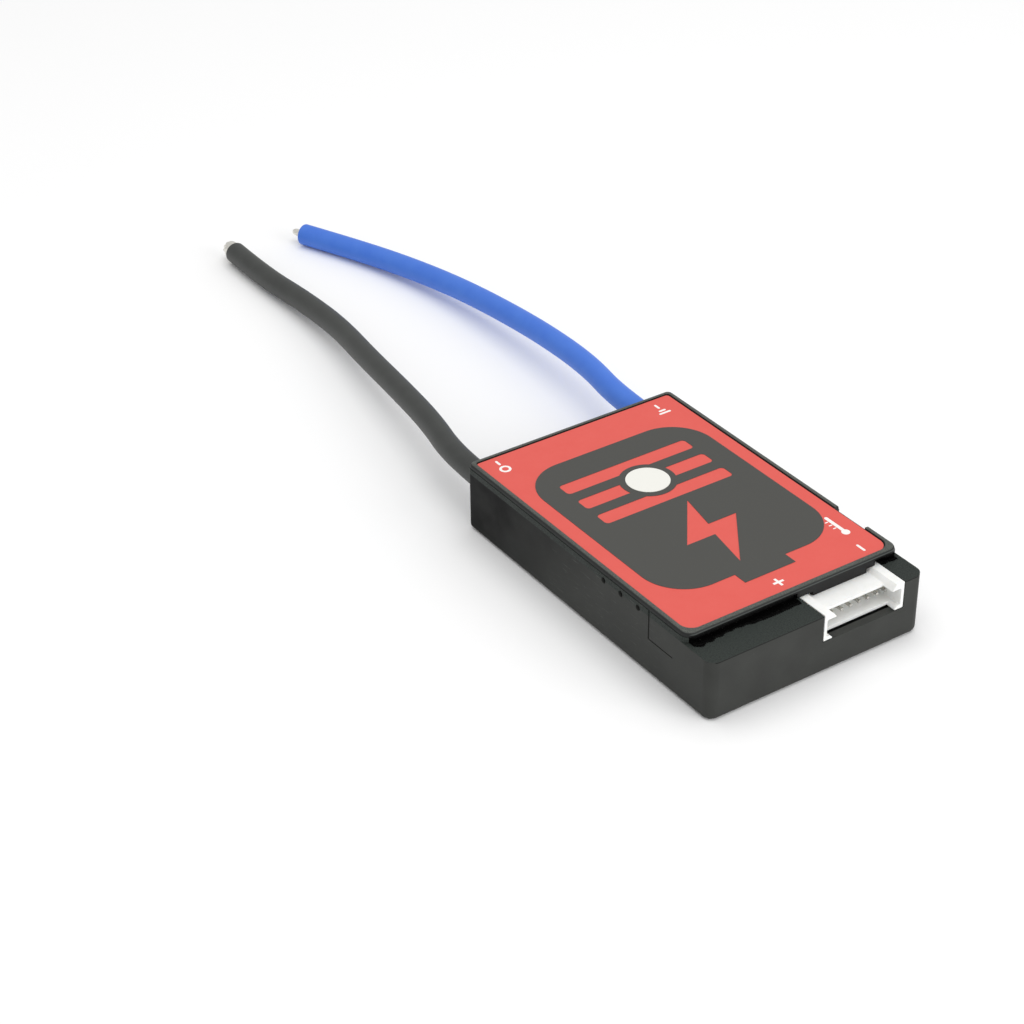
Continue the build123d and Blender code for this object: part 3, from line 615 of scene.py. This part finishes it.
def slot_materials(scene):
    """Material of each slot in the part's record."""
    case, label = scene.board_case, scene.board_label
    leads, sockets = scene.board_leads, scene.board_sockets
    rolled = (8.0, 1.0, 1.0)
    return {
        "case_plastic": case_plastic(case),
        "cover_plastic": cover_plastic(case),
        "label_film": label_film(label),
        "label_ink": printed_ink("label_ink", label.ink_colour),
        "sticker_film": sticker_paper(label),
        "potting": potting_compound(scene.board_potting),
        "socket_nylon": nylon(sockets),
        "tinned_pins": metal("tinned_pins", sockets.pin_colour, 0.25),
        "black_silicone": silicone("black_silicone", leads.black_colour, screen(74, 76, 73)),
        "blue_silicone": silicone("blue_silicone", leads.blue_colour, screen(84, 136, 226)),
        "tinned_strands": metal("tinned_strands", leads.tin_colour, 0.3, 0.25 * MM),
        "board_laminate": board_laminate(),
        "screw_steel": metal("screw_steel", screen(150, 150, 148), 0.35),
        "transistor_resin": resin("transistor_resin", screen(38, 38, 38)),
        "bar_metal": metal("bar_metal", screen(190, 128, 84), 0.3),
        "pad_silicone": resin("pad_silicone", screen(120, 132, 150), 0.7),
        "spreader_aluminium": metal("spreader_aluminium", screen(188, 190, 192), 0.4, 0.3 * MM, rolled),
        "shunt_alloy": metal("shunt_alloy", screen(120, 118, 112), 0.4),
        "chip_ceramic": resin("chip_ceramic", screen(46, 46, 48), 0.45),
        "chip_resin": resin("chip_resin", screen(30, 30, 31)),
        "can_aluminium": metal("can_aluminium", screen(200, 200, 200), 0.3),
        "ceramic_tan": resin("ceramic_tan", screen(178, 142, 98), 0.4),
        "solder": metal("solder", screen(190, 190, 188), 0.28),
    }


def dress(node, material):
    """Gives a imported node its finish."""
    mesh = frame["nodes"][node].data
    mesh.materials.clear()
    mesh.materials.append(material)


def round_edges(node, radius, segments=3):
    """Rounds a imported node's edges: joined triangles, flat faces dissolved, then a small bevel."""
    piece = frame["nodes"][node]
    weld = piece.modifiers.new("joined", "WELD")
    weld.merge_threshold = 0.001 * MM
    flat = piece.modifiers.new("flat_faces", "DECIMATE")
    flat.decimate_type = "DISSOLVE"
    flat.angle_limit = np.radians(0.5)
    bevel = piece.modifiers.new("edges", "BEVEL")
    bevel.width = radius
    bevel.segments = segments
    bevel.limit_method = "ANGLE"
    bevel.angle_limit = np.radians(35)
    bevel.harden_normals = True


class BOARD_OT_finishes(bpy.types.Operator):
    """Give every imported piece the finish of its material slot"""

    bl_idname = "board.finishes"
    bl_label = "Finishes"

    def execute(self, context):
        materials = slot_materials(context.scene)
        for part in frame["record"]["subparts"]:
            dress(part["node"], materials[part["material_slot"]])
        return {"FINISHED"}


class BOARD_OT_shells(bpy.types.Operator):
    """Round the moulded edges of the two shells"""

    bl_idname = "board.shells"
    bl_label = "Shells"

    def execute(self, context):
        radius = context.scene.board_case.edge_radius
        round_edges("lower_case", radius)
        round_edges("top_cover", radius)
        return {"FINISHED"}


class BOARD_OT_sockets(bpy.types.Operator):
    """Round the edges of the sockets and their pins"""

    bl_idname = "board.sockets"
    bl_label = "Sockets"

    def execute(self, context):
        radius = context.scene.board_sockets.nylon_edge
        for node in ("balance_socket", "sensor_socket", "balance_pins", "sensor_pins"):
            round_edges(node, radius, 2)
        return {"FINISHED"}


def bar_outline(start, end, width, turns=8):
    """Outline of a straight stroke: a half circle of the stroke's width round each end."""
    start, end = np.array(start), np.array(end)
    heading = np.arctan2(end[1] - start[1], end[0] - start[0])
    sweep = np.linspace(-np.pi / 2, np.pi / 2, turns)
    ahead = heading + sweep
    behind = heading + np.pi + sweep
    arc = width / 2 * np.column_stack([np.cos(ahead), np.sin(ahead)])
    back_arc = width / 2 * np.column_stack([np.cos(behind), np.sin(behind)])
    return np.concatenate([end + arc, start + back_arc])


def plus_outline(centre, size, width):
    """Outline of a plus sign with square ends."""
    reach, half = size / 2, width / 2
    quarter = np.array([(reach, -half), (reach, half), (half, half)])
    angles = np.arange(4) * np.pi / 2
    turns = [np.array([(np.cos(a), np.sin(a)), (-np.sin(a), np.cos(a))]) for a in angles]
    return np.array(centre) + np.concatenate([quarter @ turn for turn in turns])


def ring_outline(centre, radius, width, turns=40):
    """Outline of a ring and of its hole: circles half the width outside and inside the radius."""
    angle = np.linspace(0, 2 * np.pi, turns, endpoint=False)
    unit = np.column_stack([np.cos(angle), np.sin(angle)])
    centre = np.array(centre)
    return centre + unit * (radius + width / 2), centre + unit * (radius - width / 2)


def bulb_outline(centre, end, bulb, stem, turns=24):
    """Outline of a thermometer: a round bulb about its centre with a stem that ends in a half circle."""
    centre, end = np.array(centre), np.array(end)
    heading = np.arctan2(end[1] - centre[1], end[0] - centre[0])
    gap = np.arcsin(stem / bulb)
    round_bulb = heading + np.linspace(gap, 2 * np.pi - gap, turns)
    round_end = heading + np.linspace(-np.pi / 2, np.pi / 2, turns // 2)
    return np.concatenate([
        centre + bulb * np.column_stack([np.cos(round_bulb), np.sin(round_bulb)]),
        end + stem * np.column_stack([np.cos(round_end), np.sin(round_end)]),
    ])


class BOARD_OT_marks(bpy.types.Operator):
    """Print the plain white terminal marks on the label"""

    bl_idname = "board.marks"
    bl_label = "Terminal marks"

    def execute(self, context):
        settings = context.scene.board_label
        size, stroke = settings.mark_height, settings.mark_stroke
        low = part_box("top_label")[1].z
        plus, minus, ring, cell, bulb = (np.array(place) * MM for place in MARK_PLACES)

        def bar(place, start, end, width=stroke):
            """Bar between two points that are given in mark heights from the mark's place."""
            return bar_outline(place + size * np.array(start), place + size * np.array(end), width)

        stem = size * np.array((0.0, 1.2))
        outlines = [
            plus_outline(plus, size, stroke),
            bar(minus, (0.0, -0.4), (0.0, 0.4)),
            ring_outline(ring, 0.4 * size, stroke),
            bar(ring, (0.0, 0.85), (0.0, 1.35)),
            bar(cell, (-0.5, 0.0), (0.5, 0.0)),
            bar(cell, (-0.25, 0.4), (0.25, 0.4)),
            bar(cell, (0.0, 0.9), (0.0, 1.4)),
            bulb_outline(bulb - stem, bulb + stem, 0.36 * size, 0.16 * size),
        ]
        outlines += [bar(bulb, (-0.5, step), (-0.26, step), 0.5 * stroke) for step in (-0.3, 0.2, 0.7)]
        ink = printed_ink("mark_ink", settings.mark_colour)
        marks = slab("terminal_marks", outlines, low, low + settings.mark_thickness, ink)
        return {"FINISHED"}


def waves(across, along, lengths, seed):
    """Smooth uneven value within -1 and 1: the mean of sine waves, each with a heading and a phase."""
    draw = np.random.default_rng(seed)
    total = 0.0
    for length in lengths:
        heading, phase = draw.uniform(0.0, 2 * np.pi, 2)
        way = across * np.cos(heading) + along * np.sin(heading)
        total = total + np.sin(2 * np.pi * way / length + phase)
    return total / len(lengths)


def potting_sections(left, right, edge, settings, seed):
    """Sections in y and z, set side by side along x, of the compound pressed out of the slot.

    Each section starts at the ragged front edge and runs back over a thin lumpy film into the open slot.
    There it rises to the lip's underside, with the cube of the way in, and goes on to the seal's back.
    Near the left end the film reaches less far and is thicker, by shares that fall off exponentially.
    """
    spacing, rows = 0.1 * MM, 34
    edge_waves = (2.3 * MM, 0.9 * MM, 0.45 * MM, 0.28 * MM)
    lump_waves = (3.1 * MM, 1.7 * MM, 1.0 * MM, 0.6 * MM)
    shorter, shorter_over = 0.45, 0.5 * MM
    thicker, thicker_over = 2.6, 1.5 * MM
    front_rise, lump_rise = 0.12 * MM, 0.5 * MM
    gap = 0.02 * MM

    seal_low, seal_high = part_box("slot_seal")
    front_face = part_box("top_cover")[0].y
    low, lip = seal_low.z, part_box("lower_case")[1].z
    x = np.linspace(left, right, int((right - left) / spacing))
    shares, reaches = np.array(edge).T
    reach = np.interp((x - left) / (right - left), shares, reaches) * MM
    reach += settings.ragged_edge * waves(x, 0.0 * x, edge_waves, seed)
    reach *= 1.0 - shorter * np.exp(-(x - x[0]) / shorter_over)
    front = (front_face - reach)[:, None]
    filled = min(front_face + settings.sunk_depth, seal_high.y - 0.1 * MM)
    y = front + np.linspace(0.0, 1.0, rows)[None, :] * (filled - front)

    past = y - front
    swell = 1.0 + thicker * np.exp(-(x - x[0]) / thicker_over)[:, None]
    film = settings.film_height * swell * (1.0 - np.exp(-past / front_rise))
    lumps = waves(x[:, None], y, lump_waves, seed + 1)
    film = film + settings.lump_height * (0.5 + 0.5 * lumps) * np.clip(past / lump_rise, 0.0, 1.0)
    rise = np.clip((y - front_face) / (filled - front_face), 0.0, 1.0) ** 3
    z = np.minimum(low + film + rise * (lip - low - film), lip - gap)
    top = np.stack([np.broadcast_to(x[:, None], y.shape), y, z], -1)
    column = np.ones((len(x), 1))
    back = [
        np.stack([x[:, None], seal_high.y * column, height * column], -1)
        for height in (lip - 0.1 * MM, low)
    ]
    return np.concatenate([top, *back], 1)


class BOARD_OT_potting(bpy.types.Operator):
    """Build the black potting compound that comes out of the slot on both sides of the tongue"""

    bl_idname = "board.potting"
    bl_label = "Potting compound"

    def execute(self, context):
        settings = context.scene.board_potting
        seal_low, seal_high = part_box("slot_seal")
        left_end, right_end = FILM_GAP
        left_stretch = potting_sections(seal_low.x, left_end * MM, LEFT_FILM, settings, seed=3)
        right_stretch = potting_sections(right_end * MM, seal_high.x, RIGHT_FILM, settings, seed=8)
        material = frame["nodes"]["slot_seal"].data.materials[0]
        skin = closed_sweep("potting_skin", [left_stretch, right_stretch], material, edge_angle=60.0)
        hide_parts("slot_seal")
        return {"FINISHED"}


def lead_curve(name, route, radius, material):
    """Free lead: a smooth spline with the route's points as its control points and a round section."""
    curve = bpy.data.curves.new(name, "CURVE")
    curve.dimensions = "3D"
    curve.resolution_u = 12
    curve.bevel_depth = radius
    curve.bevel_resolution = 10
    curve.use_fill_caps = True
    spline = curve.splines.new("NURBS")
    spline.points.add(len(route) - 1)
    spline.points.foreach_set("co", np.column_stack([route, np.ones(len(route))]).ravel())
    spline.order_u = 3
    spline.use_endpoint_u = True
    curve.materials.append(material)
    lead = bpy.data.objects.new(name, curve)
    bpy.context.scene.collection.objects.link(lead)
    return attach(lead, "root")


def turned(name, end, axis, profile, material, ripple=0.0, lobes=0, twist=0.0, turns=48):
    """Surface of revolution about axis from end: radius r at distance s for each (s, r) of the profile.

    A ripple makes the radius r (1 + ripple cos(lobes angle + twist s)), as the strands of a wire do.
    """
    axis = Vector(axis).normalized()
    side = axis.orthogonal().normalized()
    third = axis.cross(side)
    along, radius = np.array(profile).T
    angle = np.linspace(0, 2 * np.pi, turns, endpoint=False)
    swell = 1 + ripple * np.cos(lobes * angle[None, :] + twist * along[:, None])
    reach = radius[:, None] * swell
    rings = (
        np.array(end)
        + along[:, None, None] * np.array(axis)
        + (reach * np.cos(angle))[..., None] * np.array(side)
        + (reach * np.sin(angle))[..., None] * np.array(third)
    )
    return closed_sweep(name, [rings], material, edge_angle=50.0)


def rounded_end(radius, rounding, bore, steps=8):
    """Profile of a cut end: a quarter circle from the skin to the flat face, then in to the bore."""
    turn = np.linspace(0, np.pi / 2, steps)
    arc = np.column_stack([rounding * np.sin(turn), radius - rounding + rounding * np.cos(turn)])
    return [(0.0, bore), (0.0, radius)] + arc[1:].tolist() + [(rounding, bore)]


def strand_profile(radius, reach, steps=24):
    """Profile of tinned strands: radius times the root of 1 - share^6, and a fifth of it at the end."""
    share = np.linspace(0, 1, steps)
    profile = np.column_stack([share * reach, radius * np.sqrt(np.clip(1 - share**6, 0.0, 1))])
    profile[-1, 1] = radius * 0.2
    return profile


class BOARD_OT_leads(bpy.types.Operator):
    """Build the two silicone leads with their tinned ends"""

    bl_idname = "board.leads"
    bl_label = "Leads"

    def execute(self, context):
        settings = context.scene.board_leads
        ends = (
            ("black", BLACK_ROUTE, settings.black_tip_radius, settings.black_tip_length),
            ("blue", BLUE_ROUTE, settings.blue_tip_radius, settings.blue_tip_length),
        )
        for colour, route, tip_radius, reach in ends:
            skin = frame["nodes"][f"{colour}_lead"].data.materials[0]
            tin = frame["nodes"][f"{colour}_tip"].data.materials[0]
            lead = lead_curve(f"{colour}_silicone_lead", route, settings.lead_radius, skin)
            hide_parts(f"{colour}_lead")
            heading = Vector(route[-1]) - Vector(route[-2])
            end_profile = rounded_end(settings.lead_radius, settings.end_radius, tip_radius)
            cut_end = turned(f"{colour}_cut_end", route[-1], heading, end_profile, skin)
            tip_profile = strand_profile(tip_radius, reach)
            tip = turned(
                f"{colour}_tinned_end", route[-1], heading, tip_profile, tin,
                ripple=0.06, lobes=9, twist=2500.0, turns=72,
            )
            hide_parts(f"{colour}_tip")
        return {"FINISHED"}


def soft_light(name, place, side, power):
    """Square light of that side and power in watts, turned from its place towards the part's middle."""
    light = bpy.data.lights.new(name, "AREA")
    light.shape = "SQUARE"
    light.size = side
    light.energy = power
    piece = bpy.data.objects.new(name, light)
    piece.location = place
    piece.rotation_euler = (-Vector(place)).to_track_quat("-Z", "Y").to_euler()
    bpy.context.scene.collection.objects.link(piece)


class BOARD_OT_stage(bpy.types.Operator):
    """Build the pale floor, the soft lights and the camera"""

    bl_idname = "board.stage"
    bl_label = "Stage"

    def execute(self, context):
        scene = context.scene
        settings = scene.board_stage
        scene.view_settings.view_transform = "Standard"

        camera_data = bpy.data.cameras.new("studio_camera")
        camera_data.lens = settings.camera_lens
        camera_data.sensor_width = 36.0
        camera_data.clip_start = 0.01
        camera_data.clip_end = 20.0
        camera = bpy.data.objects.new("studio_camera", camera_data)
        scene.collection.objects.link(camera)
        azimuth, elevation = np.radians(settings.camera_azimuth), np.radians(settings.camera_elevation)
        roll = np.radians(settings.camera_roll)
        turn = Matrix.Rotation(azimuth, 3, "Z") @ Matrix.Rotation(np.pi / 2 - elevation, 3, "X")
        camera.location = settings.camera_place
        camera.rotation_euler = (turn @ Matrix.Rotation(roll, 3, "Z")).to_euler()
        scene.camera = camera

        half = settings.floor_side / 2
        corners = [(-half, -half, 0), (half, -half, 0), (half, half, 0), (-half, half, 0)]
        floor = bpy.data.meshes.new("floor")
        floor.from_pydata(corners, [], [(0, 1, 2, 3)])
        floor_finish = Finish("floor_paper", settings.floor_colour, 0.9, Specular_IOR_Level=0.1)
        floor.materials.append(floor_finish.material)
        floor_piece = bpy.data.objects.new("floor", floor)
        scene.collection.objects.link(floor_piece)

        world = bpy.data.worlds.new("studio_air")
        world.use_nodes = True
        air = world.node_tree.nodes["Background"]
        air.inputs["Color"].default_value = (1.0, 1.0, 1.0, 1.0)
        air.inputs["Strength"].default_value = settings.sky_strength
        scene.world = world

        key_place = (0.0, 0.05, settings.key_height)
        soft_light("key_light", key_place, settings.key_side, settings.key_power)
        soft_light("front_light", settings.front_place, settings.front_side, settings.front_power)
        return {"FINISHED"}


class BOARD_PT_panel(bpy.types.Panel):
    """Lists the pieces of the battery board's looks."""

    bl_idname = "BOARD_PT_panel"
    bl_label = "Battery Board"
    bl_space_type = "VIEW_3D"
    bl_region_type = "UI"
    bl_category = "Battery Board"

    def draw(self, context):
        for operator in OPERATORS:
            self.layout.operator(operator.bl_idname)
        for name in SETTINGS:
            box = self.layout.box()
            group = getattr(context.scene, name)
            for prop in group.bl_rna.properties:
                if prop.identifier not in ("rna_type", "name"):
                    box.prop(group, prop.identifier)


SETTINGS = {
    "board_stage": BoardStageSettings,
    "board_case": BoardCaseSettings,
    "board_label": BoardLabelSettings,
    "board_potting": BoardPottingSettings,
    "board_sockets": BoardSocketSettings,
    "board_leads": BoardLeadSettings,
}
OPERATORS = (
    BOARD_OT_stage,
    BOARD_OT_finishes,
    BOARD_OT_leads,
    BOARD_OT_shells,
    BOARD_OT_sockets,
    BOARD_OT_marks,
    BOARD_OT_potting,
)


def register():
    """Registers the settings, the operators and the panel."""
    for name, group in SETTINGS.items():
        bpy.utils.register_class(group)
        setattr(bpy.types.Scene, name, bpy.props.PointerProperty(type=group))
    for operator in OPERATORS:
        bpy.utils.register_class(operator)
    bpy.utils.register_class(BOARD_PT_panel)


def unregister():
    """Takes back what register did."""
    bpy.utils.unregister_class(BOARD_PT_panel)
    for operator in reversed(OPERATORS):
        bpy.utils.unregister_class(operator)
    for name, group in SETTINGS.items():
        delattr(bpy.types.Scene, name)
        bpy.utils.unregister_class(group)


def main():
    """Registers the add-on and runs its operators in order."""
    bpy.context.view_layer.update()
    register()
    for operator in OPERATORS:
        group, name = operator.bl_idname.split(".")
        getattr(getattr(bpy.ops, group), name)()


if __name__ == "__main__":
    main()
